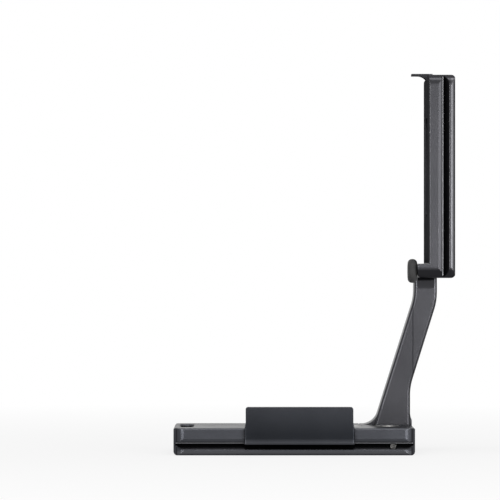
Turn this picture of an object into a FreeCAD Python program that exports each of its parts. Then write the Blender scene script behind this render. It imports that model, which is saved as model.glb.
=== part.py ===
import FreeCAD, Part
import math
import os

# L-shaped camera mount plate, in millimetres.
# The base plate lies level. The side component slides in it and carries an upright plate on a curved arm.
# Both plates have the same 38 mm clamp dovetail on their front and rear edges.
# Frame: origin on the mounting screw's axis at the seat face, X to the right, Y to the rear, Z up.

os.makedirs("parts", exist_ok=True)

# Clearances
slide_gap = 0.1        # beside flat faces that slide on each other
free_gap = 0.3         # round a moving piece in a wider hole
thread_gap = 0.05      # round a threaded shank in its thread, on the radius
press_gap = 0.02       # round a pressed or glued piece, on the radius
bite = 1.0             # how far joined bodies of one billet run into each other

# Clamp dovetail, the same on both plates, heights measured from the plate's outer face
dovetail_width = 38.0
dovetail_edge_round = 1.5
dovetail_lip = 2.05
groove_depth = 2.2
shoulder_recess = 1.3
shoulder_height = 0.4
shoulder_step = 0.3
shoulder_bevel = 1.0
shoulder_bevel_depth = 0.35

# Base plate, its reach measured from the mounting screw's axis
base_left = 34.4
base_right = 52.6
base_thickness = 9.8
base_corner = 3.9
seat_chamfer = 0.5

# Anti-twist lip on the base plate's front edge
lip_centre = 10.9
lip_width = 38.6
lip_flare = 0.5
lip_flare_height = 2.2
lip_rise = 7.7
lip_stand_out = 3.0
lip_thickness = 4.0
lip_corner = 0.9
lip_edge_round = 0.6
lip_drop_below_shoulder = 0.2

# Mounting screw, 1/4 inch
mounting_thread = 6.35
mounting_reach = 5.0
screw_tip_chamfer = 0.6
mounting_neck = 5.2
neck_chamfer = 0.5
mounting_head = 12.8
mounting_head_height = 2.6
head_edge_chamfer = 0.5
seat_web = 3.0
washer_thickness = 0.5
mounting_bore_gap = 0.8
ring_thickness = 0.7
ring_cover = 0.5
ring_groove_depth = 0.6
ring_inner = 12.0
ring_opening = 50.0

# Hex socket that all screws share, and the key for it
hex_size = 4.0
hex_socket_gap = 0.1
hex_socket_depth = 1.8
key_stop_wall = 4.2
key_short_arm = 15.0
key_bend = 5.0
key_bore_wall = 0.95
key_front_wall = 2.05
key_cover = 0.4
key_tip_drop = 1.0
key_tip_length = 9.0
key_side_gap = 0.44
magnet_size = 4.0
magnet_thickness = 2.0
magnet_from_corner = 13.5
magnet_spacing = 18.0

# Tongue of the side component and its channel in the base plate's underside
slide_travel = 10.0
tongue_nose = 2.3
tongue_width = 14.0
tongue_corner = 2.0
tongue_cover = 0.3

# Clamp screws, M5 with a low head
clamp_from_end = 9.4
clamp_spacing = 14.0
clamp_thread = 5.0
clamp_head = 9.0
clamp_head_height = 2.2
clamp_head_cover = 0.3
clamp_ledge = 2.5
clamp_washer_outer = 9.4
slot_side_gap = 0.5
insert_barrel = 7.2
insert_flange = 9.6
insert_flange_height = 1.2
insert_cover = 0.1

# Root block of the side component, in the notch at the base plate's right rear corner
root_length = 19.4
root_corner = 1.5

# Upright side plate
side_stand_off = 4.8
side_thickness = 9.5
side_bottom = 53.9
side_height = 73.2
side_corner = 3.9
side_edge_round = 1.5
side_chamfer = 0.4
foot_reach = 4.0
foot_height = 5.1
window_width = 17.0
window_socket_web = 3.9
window_bushing_web = 2.0
window_corner = 4.0

# Arm between the root block and the side plate
arm_setback = 1.0
arm_inset = 0.75
arm_overhang = 4.3
arm_straight = 13.9
arm_shoulder_drop = 8.6
arm_root_step = 5.5
arm_inner_drop = 7.4
arm_low_round = 20.0
arm_high_round = 21.0
arm_inner_round = 18.0
arm_root_fillet = 6.0
arm_flare_height = 3.4
arm_flare_land = 1.6
arm_flare_round = 5.0
arm_edge_round = 1.0
knee_fillet = 4.0

# Thin tab at the top of the side plate
tab_reach = 6.0
tab_thickness = 0.7
tab_fillet = 3.8
tab_rise = 0.3
tab_depth = 6.0

# Thread bushings, 1/4 inch, in both plates
bushing_thread = 6.35
bushing_outer = 9.2
bushing_flange = 11.0
bushing_flange_height = 1.0
bushing_length = 7.0
bushing_mouth_chamfer = 0.5
flange_cover = 0.15
base_bushing_y = 4.0
side_bushing_drop = 7.6

# Sling socket in the side plate
socket_bore = 9.9
socket_outer = 13.0
socket_flange = 15.0
socket_flange_height = 1.2
socket_length = 8.2
socket_floor = 0.5
socket_lip = 2.6
socket_groove_width = 2.6
socket_groove_depth = 0.7
socket_rise = 10.7

# Stop screws in the base plate's dovetail groove
stop_size = 2.5
stop_length = 4.0
stop_stand_out = 0.8
stop_from_end = 8.0
stop_hex = 1.3
stop_hex_depth = 1.0

# Strap slot and relief pockets in the base plate
strap_slot_width = 4.5
strap_slot_length = 20.0
strap_slot_from_end = 2.3
slot_edge_chamfer = 0.5
pocket_width = 5.4
pocket_depth = 5.0
pocket_channel_wall = 2.1
pocket_notch_wall = 3.5
pocket_rib = 3.0
right_pocket_length = 20.5
left_pocket_length = 19.0

# Rubber bumper on the inner end of the foot
bumper_size = 8.6
bumper_height = 3.4
bumper_chamfer = 1.2
bumper_from_front = 5.5
bumper_stem = 2.4
bumper_stem_length = 2.6

# Heights worked out from the sizes above
half_depth = dovetail_width / 2
base_bottom = -base_thickness
groove_top = dovetail_lip + groove_depth
tongue_bottom = base_bottom + tongue_cover
clamp_head_top = tongue_bottom + clamp_head_cover + clamp_head_height
slot_roof = clamp_head_top + washer_thickness
channel_roof = slot_roof + clamp_ledge
key_bottom = base_bottom + key_cover
key_groove_floor = key_bottom + hex_size + slide_gap
side_top = side_bottom + side_height
window_bottom = side_bottom + socket_rise + socket_flange / 2 + window_socket_web
window_top = side_top - side_bushing_drop - bushing_flange / 2 - window_bushing_web

# Places along and across the base plate
clamp_places = (base_right - clamp_from_end - clamp_spacing, base_right - clamp_from_end)
channel_half = tongue_width / 2 + slide_gap
slot_start = min(clamp_places) - slide_travel
slot_half = clamp_washer_outer / 2 + slot_side_gap
tongue_left = slot_start - slot_half - tongue_nose
root_left = base_right - root_length
root_front = tongue_width / 2 - bite
pocket_line_y = channel_half + pocket_channel_wall + pocket_width / 2
mounting_bore_radius = mounting_head / 2 + mounting_bore_gap
ring_groove_radius = mounting_bore_radius + ring_groove_depth
hex_half_corner = hex_size / math.sqrt(3)
key_half_groove = hex_half_corner + key_side_gap
key_corner_x = -(ring_groove_radius + key_bore_wall + key_half_groove)
key_line_y = -(half_depth - groove_depth - key_front_wall - key_half_groove)
key_tip_x = base_right - stop_from_end - stop_size / 2 - key_stop_wall - key_side_gap
magnet_places = (key_corner_x + magnet_from_corner, key_corner_x + magnet_from_corner + magnet_spacing)
strap_slot_x = strap_slot_from_end + strap_slot_width / 2 - base_left
strap_slot_edge = strap_slot_x + strap_slot_width / 2 + slot_edge_chamfer
base_bushing_x = (strap_slot_edge + key_corner_x - key_half_groove) / 2

# Places of the side plate and the arm
side_inner = base_right + side_stand_off
side_outer = side_inner + side_thickness
foot_inner = side_inner - foot_reach
arm_front = root_front + arm_setback
arm_root = root_left + arm_root_step
arm_root_outer = base_right - arm_inset
arm_outer = side_inner + arm_overhang
arm_shoulder = side_bottom - arm_shoulder_drop
arm_inner_shoulder = side_bottom - arm_inner_drop
arm_lean = (foot_inner - arm_root) / arm_inner_shoulder

origin = FreeCAD.Vector(0, 0, 0)
x_axis = FreeCAD.Vector(1, 0, 0)
y_axis = FreeCAD.Vector(0, 1, 0)
z_axis = FreeCAD.Vector(0, 0, 1)

# A view is its two outline directions and the direction an outline is drawn out in
plan_view = (x_axis, y_axis, z_axis)
front_view = (x_axis, z_axis, y_axis)
end_view = (y_axis, z_axis, x_axis)


# Outlines and simple bodies

def corner_points(before, corner, after, radius):
    """Start, middle and end of the arc that rounds one corner of an outline."""
    to_before = (before - corner).normalize()
    to_after = (after - corner).normalize()
    half_angle = to_before.getAngle(to_after) / 2
    reach = radius / math.tan(half_angle)
    middle = corner + (to_before + to_after).normalize() * (radius / math.sin(half_angle) - radius)
    return corner + to_before * reach, middle, corner + to_after * reach


def outline(corners, view, level):
    """Closed wire through (across, up, radius) corners, drawn in a view at a level along it."""
    across, up, along = view
    points = [across * corner[0] + up * corner[1] + along * level for corner in corners]
    edges = []
    ends = []
    for number, corner in enumerate(corners):
        after = points[(number + 1) % len(points)]
        if corner[2] > 0:
            start, middle, end = corner_points(points[number - 1], points[number], after, corner[2])
            edges.append(Part.Arc(start, middle, end).toShape())
            ends.append((start, end))
        else:
            ends.append((points[number], points[number]))
    for number, (_, end) in enumerate(ends):
        next_start = ends[(number + 1) % len(ends)][0]
        if end.distanceToPoint(next_start) > 1e-6:
            edges.append(Part.LineSegment(end, next_start).toShape())
    return Part.Wire(Part.__sortEdges__(edges))


def prism(corners, view, low, high):
    """Body of an outline drawn out along its view, from low to high."""
    return Part.Face(outline(corners, view, low)).extrude(view[2] * (high - low))


def rectangle(left, right, bottom, top, radius=0.0):
    """Corners of a rectangle with equal corner radii."""
    return [(left, bottom, radius), (right, bottom, radius), (right, top, radius), (left, top, radius)]


def long_slot(start, end, half_width):
    """Corners of a slot with round ends whose end centres lie at start and end across."""
    return rectangle(start - half_width, end + half_width, -half_width, half_width, half_width)


def moved(corners, across, up):
    """The same corners, moved."""
    return [(corner[0] + across, corner[1] + up, corner[2]) for corner in corners]


def cylinder(radius, centre, direction, length):
    """Round bar from a centre point."""
    return Part.makeCylinder(radius, length, centre, direction)


def revolved(profile, centre, direction, outward):
    """Solid of revolution of (radius, height) corners about a direction through a centre."""
    points = [centre + outward * radius + direction * height for radius, height in profile]
    face = Part.Face(Part.makePolygon(points + [points[0]]))
    return face.revolve(centre, direction, 360)


def hexagon(size, centre_across, centre_up):
    """Corners of a hexagon of a size across its flats, with a flat above and below."""
    reach = size / math.sqrt(3)
    corners = []
    for number in range(6):
        angle = math.radians(60 * number)
        corners.append((centre_across + reach * math.cos(angle), centre_up + reach * math.sin(angle), 0.0))
    return corners


def rounded_edges(shape, radius, chosen):
    """The shape with the edges that a test picks rounded."""
    return shape.makeFillet(radius, [edge for edge in shape.Edges if chosen(edge)])


# Plates

def dovetail_section(thickness, chamfer):
    """Corners (depth, height) of a plate's section, its clamp dovetail at height 0."""
    half = half_depth
    rear = [
        (half, 0.0, dovetail_edge_round),
        (half, dovetail_lip, 0.0),
        (half - groove_depth, groove_top, 0.0),
        (half - shoulder_recess, groove_top, 0.0),
        (half - shoulder_recess, groove_top + shoulder_height, 0.0),
        (half - shoulder_bevel_depth, groove_top + shoulder_height + shoulder_step, 0.0),
        (half, groove_top + shoulder_height + shoulder_step + shoulder_bevel, 0.0),
        (half, thickness - chamfer, 0.0),
        (half - chamfer, thickness, 0.0),
    ]
    front = [(-depth, height, radius) for depth, height, radius in reversed(rear)]
    return rear + front


def base_billet():
    """Outer body of the base plate, with dovetail, plan corners and rounded ends."""
    section = moved(dovetail_section(base_thickness, seat_chamfer), 0, base_bottom)
    body = prism(section, end_view, -base_left, base_right)
    plan = rectangle(-base_left, base_right, -half_depth, half_depth, base_corner)
    body = body.common(prism(plan, plan_view, base_bottom, 0))
    front = [
        (-base_left, base_bottom, dovetail_edge_round),
        (base_right, base_bottom, dovetail_edge_round),
        (base_right, -seat_chamfer, 0.0),
        (base_right - seat_chamfer, 0.0, 0.0),
        (seat_chamfer - base_left, 0.0, 0.0),
        (-base_left, -seat_chamfer, 0.0),
    ]
    return body.common(prism(front, front_view, -half_depth, half_depth))


def anti_twist_lip():
    """Raised lip on the front edge, standing proud of the plate and rising above its seat."""
    half = lip_width / 2
    foot = half + lip_flare
    bottom = base_bottom + groove_top - lip_drop_below_shoulder
    front_face = -half_depth - lip_stand_out
    rear_face = front_face + lip_thickness
    front = [
        (-foot, bottom, lip_edge_round),
        (foot, bottom, lip_edge_round),
        (foot, -seat_chamfer, lip_flare),
        (half, lip_flare_height, lip_flare),
        (half, lip_rise, lip_corner),
        (-half, lip_rise, lip_corner),
        (-half, lip_flare_height, lip_flare),
        (-foot, -seat_chamfer, lip_flare),
    ]
    body = prism(moved(front, lip_centre, 0), front_view, front_face, rear_face)
    end = [
        (front_face, bottom, lip_edge_round),
        (rear_face, bottom, 0.0),
        (rear_face, lip_rise, lip_edge_round),
        (front_face, lip_rise, lip_edge_round),
    ]
    body = body.common(prism(end, end_view, lip_centre - foot, lip_centre + foot))
    plan = [
        (-foot, front_face, lip_edge_round),
        (foot, front_face, lip_edge_round),
        (foot, rear_face, 0.0),
        (-foot, rear_face, 0.0),
    ]
    return body.common(prism(moved(plan, lip_centre, 0), plan_view, bottom, lip_rise))


def mounting_screw_hole():
    """Hole, counterbore and ring groove for the captive mounting screw."""
    mouth = FreeCAD.Vector(0, 0, base_bottom)
    hole = cylinder(mounting_thread / 2 + free_gap, mouth, z_axis, base_thickness)
    bore = cylinder(mounting_bore_radius, mouth, z_axis, base_thickness - seat_web)
    groove_start = FreeCAD.Vector(0, 0, base_bottom + ring_cover)
    groove = cylinder(ring_groove_radius, groove_start, z_axis, ring_thickness)
    return hole.fuse([bore, groove])


def tongue_channel():
    """Channel in the underside that the tongue slides in, open at the right end."""
    plan = [
        (tongue_left - free_gap, -channel_half, tongue_corner),
        (base_right + bite, -channel_half, 0.0),
        (base_right + bite, channel_half, 0.0),
        (tongue_left - free_gap, channel_half, tongue_corner),
    ]
    return prism(plan, plan_view, base_bottom - bite, channel_roof)


def root_notch():
    """Notch at the right rear corner that the root block fills."""
    plan = [
        (root_left, root_front, root_corner),
        (base_right + bite, root_front, 0.0),
        (base_right + bite, half_depth + bite, 0.0),
        (root_left, half_depth + bite, 0.0),
    ]
    return prism(plan, plan_view, base_bottom - bite, bite)


def key_groove():
    """Groove for the stowed key, deeper under its tip so that a push there tips it out."""
    left = key_corner_x - key_half_groove
    inner = key_corner_x + key_half_groove
    right = key_tip_x + key_side_gap
    top = key_line_y + key_short_arm + key_side_gap
    low = key_line_y - key_half_groove
    high = key_line_y + key_half_groove
    plan = [
        (left, low, key_bend + key_half_groove),
        (right, low, 0.0),
        (right, high, 0.0),
        (inner, high, key_bend - key_half_groove),
        (inner, top, 0.0),
        (left, top, 0.0),
    ]
    groove = prism(plan, plan_view, base_bottom - bite, key_groove_floor)
    tip = rectangle(right - key_tip_length, right, low, high)
    return groove.fuse(prism(tip, plan_view, key_groove_floor - bite, key_groove_floor + key_tip_drop))


def magnet(place, radius):
    """Disc magnet, or the bore for it, over the key's long arm."""
    return cylinder(radius, FreeCAD.Vector(place, key_line_y, key_groove_floor), z_axis, magnet_thickness)


def strap_slot():
    """Strap slot near the left end, with chamfered mouths."""
    half = strap_slot_width / 2
    reach = strap_slot_length / 2
    wide = half + slot_edge_chamfer
    long = reach + slot_edge_chamfer
    narrow_slot = moved(rectangle(-half, half, -reach, reach, half), strap_slot_x, 0)
    wide_slot = moved(rectangle(-wide, wide, -long, long, wide), strap_slot_x, 0)
    slot = prism(narrow_slot, plan_view, base_bottom, 0)
    mouth = outline(wide_slot, plan_view, 0)
    throat = outline(narrow_slot, plan_view, -slot_edge_chamfer)
    upper = Part.makeLoft([throat, mouth], True)
    lower = upper.mirror(FreeCAD.Vector(0, 0, base_bottom / 2), z_axis)
    return slot.fuse([upper, lower])


def relief_pockets():
    """Long pockets with round ends in the rear of the underside, one after another from the notch."""
    half = pocket_width / 2
    pockets = []
    right = root_left - pocket_notch_wall
    for length in (right_pocket_length, left_pocket_length):
        corners = moved(long_slot(right - length + half, right - half, half), 0, pocket_line_y)
        pockets.append(prism(corners, plan_view, base_bottom, base_bottom + pocket_depth))
        right -= length + pocket_rib
    return pockets


def insert_shape(place, gap):
    """Flanged thread insert for a clamp screw, or its seat when widened by a gap."""
    top = FreeCAD.Vector(place, 0, -insert_cover)
    flange = cylinder(insert_flange / 2 + gap, top, -z_axis, insert_flange_height)
    barrel = cylinder(insert_barrel / 2 + gap, top, -z_axis, -channel_roof - insert_cover)
    return flange.fuse(barrel)


def bushing_shape(mouth, inward, gap):
    """Flanged thread bushing from its mouth inward, or its seat when widened by a gap."""
    start = mouth + inward * flange_cover
    flange = cylinder(bushing_flange / 2 + gap, start, inward, bushing_flange_height)
    barrel = cylinder(bushing_outer / 2 + gap, start, inward, bushing_length)
    return flange.fuse(barrel)


def stop_places():
    """Centre and outward direction of each stop screw: front right and rear left."""
    height = base_bottom + dovetail_lip + groove_depth / 2
    neck = half_depth - groove_depth
    right = FreeCAD.Vector(base_right - stop_from_end, -neck, height)
    left = FreeCAD.Vector(stop_from_end - base_left, neck, height)
    return ((right, -y_axis), (left, y_axis))


def base_plate():
    """Base plate with everything cut into it."""
    plate = base_billet().fuse(anti_twist_lip())
    cuts = [mounting_screw_hole(), tongue_channel(), root_notch(), key_groove(), strap_slot()]
    cuts += [magnet(place, magnet_size / 2 + press_gap) for place in magnet_places]
    cuts += relief_pockets()
    for place in clamp_places:
        top = FreeCAD.Vector(place, 0, -insert_cover)
        cuts.append(insert_shape(place, press_gap))
        cuts.append(cylinder(insert_flange / 2 + press_gap, top, z_axis, bite))
    mouth = FreeCAD.Vector(base_bushing_x, base_bushing_y, base_bottom)
    cuts.append(bushing_shape(mouth, z_axis, press_gap))
    cuts.append(cylinder(bushing_flange / 2 + press_gap, mouth, z_axis, flange_cover))
    for centre, outward in stop_places():
        inner_end = centre - outward * (stop_length - stop_stand_out)
        cuts.append(cylinder(stop_size / 2 + press_gap, inner_end, outward, stop_length + bite))
    return plate.cut(cuts).removeSplitter()


def side_plate_billet():
    """Upright plate with its dovetail, rounded corners and rounded outer edges, and the foot below it."""
    side_view = (y_axis, -x_axis, z_axis)
    section = moved(dovetail_section(side_thickness, side_chamfer), 0, -side_outer)
    body = prism(section, side_view, side_bottom, side_top)
    front = [
        (side_inner, side_bottom, 0.0),
        (side_outer, side_bottom, side_edge_round),
        (side_outer, side_top, side_edge_round),
        (side_inner, side_top, side_edge_round),
    ]
    body = body.common(prism(front, front_view, -half_depth, half_depth))
    foot_top = side_bottom + foot_height
    foot = [
        (foot_inner, side_bottom, side_edge_round),
        (side_inner + bite, side_bottom, 0.0),
        (side_inner + bite, foot_top, 0.0),
        (foot_inner, foot_top, side_chamfer),
    ]
    body = body.fuse(prism(foot, front_view, -half_depth, half_depth))
    end = rectangle(-half_depth, half_depth, side_bottom, side_top, side_corner)
    return body.common(prism(end, end_view, foot_inner, side_outer))


def arm_flares():
    """Concave roots of the arm on the block's top and under the foot, clear of its rounded edges."""
    reach = 2 * arm_root_fillet
    inner = [
        (root_left + root_corner, -bite, 0.0),
        (arm_root + bite, -bite, 0.0),
        (arm_root + bite + arm_lean * reach, reach, 0.0),
        (arm_root + arm_lean * reach, reach, 0.0),
        (arm_root, 0.0, arm_root_fillet),
        (root_left + root_corner, 0.0, 0.0),
    ]
    outer = [
        (arm_root_outer - bite, -bite, 0.0),
        (base_right - slide_gap, -bite, 0.0),
        (base_right - slide_gap, arm_flare_land, 0.0),
        (arm_root_outer, arm_flare_height, arm_flare_round),
        (arm_root_outer, 2 * arm_flare_height, 0.0),
        (arm_root_outer - bite, 2 * arm_flare_height, 0.0),
    ]
    knee = [
        (arm_front + bite, side_bottom - 2 * knee_fillet, 0.0),
        (arm_front + bite, side_bottom + bite, 0.0),
        (arm_front - knee_fillet, side_bottom + bite, 0.0),
        (arm_front - knee_fillet, side_bottom, 0.0),
        (arm_front, side_bottom, knee_fillet),
        (arm_front, side_bottom - 2 * knee_fillet, 0.0),
    ]
    low = arm_front + arm_edge_round
    high = half_depth - arm_edge_round
    roots = [prism(inner, front_view, low, high), prism(outer, front_view, low, high)]
    return roots + [prism(knee, end_view, foot_inner + arm_edge_round, arm_outer - arm_edge_round)]


def arm():
    """Curved arm from the root block up to the foot and the side plate, with rounded long edges."""
    top = side_bottom + bite
    front = [
        (arm_root - arm_lean * bite, -bite, 0.0),
        (arm_root_outer, -bite, 0.0),
        (arm_root_outer, arm_straight, arm_low_round),
        (arm_outer, arm_shoulder, arm_high_round),
        (arm_outer, top, 0.0),
        (foot_inner, top, 0.0),
        (foot_inner, arm_inner_shoulder, arm_inner_round),
    ]
    body = prism(front, front_view, arm_front, half_depth)

    def long_edge(edge):
        return edge.BoundBox.YLength < bite and edge.BoundBox.ZLength > bite

    return rounded_edges(body, arm_edge_round, long_edge).fuse(arm_flares())


def root_block():
    """Block that fills the notch and carries the dovetail on to the plate's right end."""
    plan = [
        (root_left + free_gap, root_front + slide_gap, root_corner),
        (base_right, root_front + slide_gap, 0.0),
        (base_right, half_depth, 0.0),
        (root_left + free_gap, half_depth, 0.0),
    ]
    return base_billet().common(prism(plan, plan_view, base_bottom, 0))


def tongue():
    """Sliding tongue with its stepped slot for the clamp screws, its end rounded like the plate's."""
    half = tongue_width / 2
    plan = [
        (tongue_left, -half, tongue_corner),
        (base_right, -half, 0.0),
        (base_right, half, 0.0),
        (tongue_left, half, tongue_corner),
    ]
    body = prism(plan, plan_view, tongue_bottom, channel_roof).common(base_billet())
    narrow = long_slot(slot_start, max(clamp_places), clamp_thread / 2 + free_gap)
    wide = long_slot(slot_start, max(clamp_places), slot_half)
    body = body.cut(prism(narrow, plan_view, tongue_bottom, channel_roof))
    return body.cut(prism(wide, plan_view, tongue_bottom, slot_roof))


def top_tab():
    """Thin tab with its fillet down to the side plate's inner face."""
    top = side_top + tab_rise
    under = top - tab_thickness
    front = [
        (side_inner - tab_reach, under, 0.0),
        (side_inner, under, tab_fillet),
        (side_inner, under - tab_fillet, 0.0),
        (side_inner + side_edge_round, under - tab_fillet, 0.0),
        (side_inner + side_edge_round, top, 0.0),
        (side_inner - tab_reach, top, 0.0),
    ]
    start = side_corner - half_depth
    return prism(front, front_view, start, start + tab_depth)


def socket_centre():
    """Centre of the sling socket's mouth on the side plate's outer face."""
    return FreeCAD.Vector(side_outer, 0, side_bottom + socket_rise)


def side_bushing_centre():
    """Centre of the side bushing's mouth on the side plate's outer face."""
    return FreeCAD.Vector(side_outer, 0, side_top - side_bushing_drop)


def socket_body(gap):
    """Outside of the sling socket, or its seat when widened by a gap."""
    start = socket_centre() - x_axis * flange_cover
    flange = cylinder(socket_flange / 2 + gap, start, -x_axis, socket_flange_height)
    return flange.fuse(cylinder(socket_outer / 2 + gap, start, -x_axis, socket_length))


def bumper_centre():
    """Centre of the bumper's seat on the foot's inner end."""
    return FreeCAD.Vector(foot_inner, bumper_from_front - half_depth, side_bottom + foot_height / 2)


def side_component():
    """Side plate, foot, arm, tab, root block and tongue, machined from one billet."""
    body = side_plate_billet().fuse([arm(), root_block(), tongue(), top_tab()])
    half = window_width / 2
    window = rectangle(-half, half, window_bottom, window_top, window_corner)
    cuts = [prism(window, end_view, side_inner - bite, side_outer + bite)]
    cuts.append(socket_body(press_gap))
    cuts.append(cylinder(socket_flange / 2 + press_gap, socket_centre(), -x_axis, flange_cover))
    cuts.append(bushing_shape(side_bushing_centre(), -x_axis, press_gap))
    cuts.append(cylinder(bushing_flange / 2 + press_gap, side_bushing_centre(), -x_axis, flange_cover))
    stem_depth = bumper_stem_length + free_gap
    cuts.append(cylinder(bumper_stem / 2 + press_gap, bumper_centre(), x_axis, stem_depth))
    return body.cut(cuts).removeSplitter()


# Screws, inserts and small pieces

def hex_socket(face_centre, view, size, depth):
    """Hexagonal socket sunk into a screw's end face along a view, or against it at a negative depth."""
    across, up, along = view
    corners = hexagon(size, face_centre.dot(across), face_centre.dot(up))
    level = face_centre.dot(along)
    return prism(corners, view, level, level + depth)


def headed_screw(centre, head_top, head_size, head_height, thread, tip):
    """Screw with a low round head, pointing up, from its head's upper face to its tip."""
    radius = head_size / 2
    shank = thread / 2
    bottom = head_top - head_height
    profile = [
        (0.0, bottom),
        (radius - head_edge_chamfer, bottom),
        (radius, bottom + head_edge_chamfer),
        (radius, head_top),
        (shank, head_top),
        (shank, tip - screw_tip_chamfer),
        (shank - screw_tip_chamfer, tip),
        (0.0, tip),
    ]
    body = revolved(profile, centre, z_axis, x_axis)
    face = FreeCAD.Vector(centre.x, centre.y, bottom)
    return body.cut(hex_socket(face, plan_view, hex_size + hex_socket_gap, hex_socket_depth))


def flat_washer(centre, top, outer, inner):
    """Plain washer hanging under a face."""
    start = FreeCAD.Vector(centre.x, centre.y, top)
    body = cylinder(outer / 2, start, -z_axis, washer_thickness)
    return body.cut(cylinder(inner / 2, start, -z_axis, washer_thickness))


def mounting_screw():
    """Captive 1/4 inch screw, tight under the seat web, with a thinner neck below its thread."""
    head_top = -seat_web - washer_thickness
    thread = mounting_thread
    screw = headed_screw(origin, head_top, mounting_head, mounting_head_height, thread, mounting_reach)
    neck = mounting_neck / 2
    around_neck = [
        (neck, head_top),
        (thread, head_top),
        (thread, 0.0),
        (thread / 2, 0.0),
        (neck, -neck_chamfer),
    ]
    return screw.cut(revolved(around_neck, origin, z_axis, x_axis))


def mounting_screw_washer():
    """Washer between the mounting screw's head and the seat web."""
    inner = mounting_thread + 2 * free_gap
    return flat_washer(origin, -seat_web, mounting_head - head_edge_chamfer, inner)


def mounting_screw_ring():
    """Open snap ring in the counterbore's groove."""
    outer = ring_groove_radius - press_gap
    start = FreeCAD.Vector(0, 0, base_bottom + ring_cover + press_gap)
    height = ring_thickness - 2 * press_gap
    ring = cylinder(outer, start, z_axis, height).cut(cylinder(ring_inner / 2, start, z_axis, height))
    half = math.radians(ring_opening / 2)
    reach = outer + bite
    wedge = [
        (0.0, 0.0, 0.0),
        (reach * math.cos(half), reach * math.sin(half), 0.0),
        (reach / math.cos(half), 0.0, 0.0),
        (reach * math.cos(half), -reach * math.sin(half), 0.0),
    ]
    return ring.cut(prism(wedge, plan_view, start.z, start.z + height))


def clamp_screw(place):
    """Low-head M5 screw through the tongue's slot into its insert."""
    centre = FreeCAD.Vector(place, 0, 0)
    tip = -insert_cover - screw_tip_chamfer
    return headed_screw(centre, clamp_head_top, clamp_head, clamp_head_height, clamp_thread, tip)


def clamp_washer(place):
    """Washer between a clamp screw's head and the slot's ledge."""
    inner = clamp_thread + 2 * free_gap
    return flat_washer(FreeCAD.Vector(place, 0, 0), slot_roof, clamp_washer_outer, inner)


def clamp_insert(place):
    """Flanged steel insert that a clamp screw threads into."""
    top = FreeCAD.Vector(place, 0, -insert_cover)
    hole = cylinder(clamp_thread / 2 + thread_gap, top, -z_axis, -channel_roof)
    return insert_shape(place, 0).cut(hole)


def bushing(mouth, inward):
    """Thread bushing with a chamfered mouth."""
    start = mouth + inward * flange_cover
    radius = bushing_thread / 2
    hole = cylinder(radius, start, inward, bushing_length)
    chamfer = bushing_mouth_chamfer
    mouth_cone = Part.makeCone(radius + chamfer, radius, chamfer, start, inward)
    return bushing_shape(mouth, inward, 0).cut([hole, mouth_cone])


def sling_socket():
    """Sleeve with a ball groove that a sling's push-button stud locks into."""
    start = socket_centre() - x_axis * flange_cover
    bore = cylinder(socket_bore / 2, start, -x_axis, socket_length - socket_floor)
    groove_start = start - x_axis * socket_lip
    groove = cylinder(socket_bore / 2 + socket_groove_depth, groove_start, -x_axis, socket_groove_width)
    return socket_body(0).cut([bore, groove])


def stop_screw(centre, outward):
    """Set screw standing out of the dovetail groove's neck."""
    face = centre + outward * stop_stand_out
    body = cylinder(stop_size / 2, face, -outward, stop_length)
    return body.cut(hex_socket(face, front_view, stop_hex, -outward.y * stop_hex_depth))


def hex_key():
    """L-shaped hex key lying in its groove."""
    middle = key_bottom + hex_size / 2
    corner = FreeCAD.Vector(key_corner_x, key_line_y, middle)
    short_end = corner + y_axis * key_short_arm
    long_end = FreeCAD.Vector(key_tip_x, key_line_y, middle)
    start, turn, end = corner_points(short_end, corner, long_end, key_bend)
    path = Part.Wire([
        Part.LineSegment(short_end, start).toShape(),
        Part.Arc(start, turn, end).toShape(),
        Part.LineSegment(end, long_end).toShape(),
    ])
    section = outline(hexagon(hex_size, key_corner_x, middle), front_view, short_end.y)
    return path.makePipeShell([section], True, True)


def rubber_bumper():
    """Round rubber bumper with a stem pressed into the foot's inner end."""
    radius = bumper_size / 2
    stem = bumper_stem / 2
    chamfer = bumper_chamfer
    profile = [
        (0.0, -bumper_stem_length),
        (stem, -bumper_stem_length),
        (stem, 0.0),
        (radius - chamfer, 0.0),
        (radius, chamfer),
        (radius, bumper_height - chamfer),
        (radius - chamfer, bumper_height),
        (0.0, bumper_height),
    ]
    return revolved(profile, bumper_centre(), -x_axis, z_axis)


def save(name, shapes):
    """Write one sub-part, one or more solids, to its STEP file."""
    solids = [solid for shape in shapes for solid in shape.Solids]
    body = solids[0] if len(solids) == 1 else Part.makeCompound(solids)
    body.exportStep(os.path.join("parts", name + ".step"))
    box = body.BoundBox
    print(f"{name}: {len(solids)} solid(s), {body.Volume:.0f} mm3, valid {body.isValid()}, "
          f"x {box.XMin:.1f} to {box.XMax:.1f}, y {box.YMin:.1f} to {box.YMax:.1f}, "
          f"z {box.ZMin:.1f} to {box.ZMax:.1f}")


clamp_names = ("left", "right")

save("base_plate", [base_plate()])
save("side_component", [side_component()])
save("mounting_screw", [mounting_screw()])
save("mounting_screw_washer", [mounting_screw_washer()])
save("mounting_screw_ring", [mounting_screw_ring()])
for clamp_name, clamp_place in zip(clamp_names, clamp_places):
    save("clamp_screw_" + clamp_name, [clamp_screw(clamp_place)])
    save("clamp_washer_" + clamp_name, [clamp_washer(clamp_place)])
save("clamp_inserts", [clamp_insert(place) for place in clamp_places])
save("hex_key", [hex_key()])
save("key_magnets", [magnet(place, magnet_size / 2) for place in magnet_places])
save("base_bushing", [bushing(FreeCAD.Vector(base_bushing_x, base_bushing_y, base_bottom), z_axis)])
save("side_bushing", [bushing(side_bushing_centre(), -x_axis)])
save("sling_socket", [sling_socket()])
save("stop_screws", [stop_screw(centre, outward) for centre, outward in stop_places()])
save("rubber_bumper", [rubber_bumper()])
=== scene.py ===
import logging
import math
from collections import Counter
from collections.abc import Callable
from dataclasses import dataclass
from enum import Enum

import bpy
from mathutils import Matrix, Vector


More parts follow.
